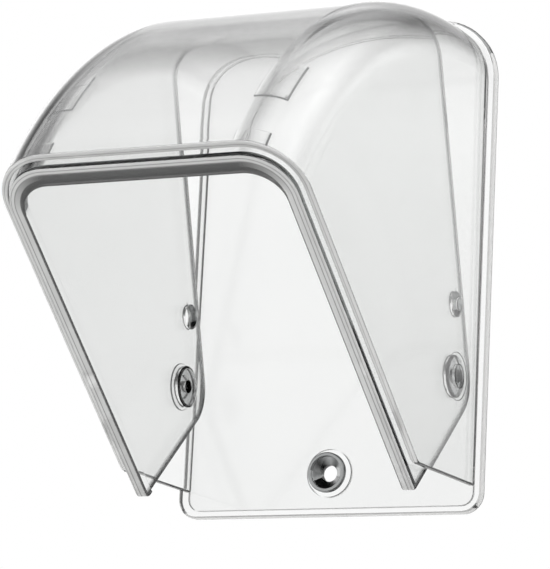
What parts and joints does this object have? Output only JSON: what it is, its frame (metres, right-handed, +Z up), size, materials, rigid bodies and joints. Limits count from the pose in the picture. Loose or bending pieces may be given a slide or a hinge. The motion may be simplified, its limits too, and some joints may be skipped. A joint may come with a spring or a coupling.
{
  "type": "doorbell rain cover",
  "caption": "Clear wall-mounted rain cover for a doorbell: back plate with a curved hood, and a nested visor that swings down on side pins.",
  "frame": {"origin": "middle of the back plate's lower edge, on the wall plane", "axes": "+Z up the wall, +Y into the wall (the cover projects towards -Y), +X to the right seen from the front"},
  "size_m": [0.064, 0.0869, 0.097],
  "materials": {
    "housing": "clear moulded plastic",
    "visor": "clear moulded plastic",
    "pivot_pin": "clear moulded plastic",
    "adhesive_pad": "clear adhesive"
  },
  "bodies": {
    "housing": {"housing": "housing", "pivot_pin_left": "pivot_pin", "pivot_pin_right": "pivot_pin", "adhesive_pad": "adhesive_pad"},
    "visor": {"visor": "visor"}
  },
  "joints": [
    {"name": "visor_hinge", "type": "hinge", "parent": "housing", "child": "visor", "pos_m": [0, -0.0109, 0.0245], "axis": [1, 0, 0], "range_deg": [0, 47.6]}
  ]
}
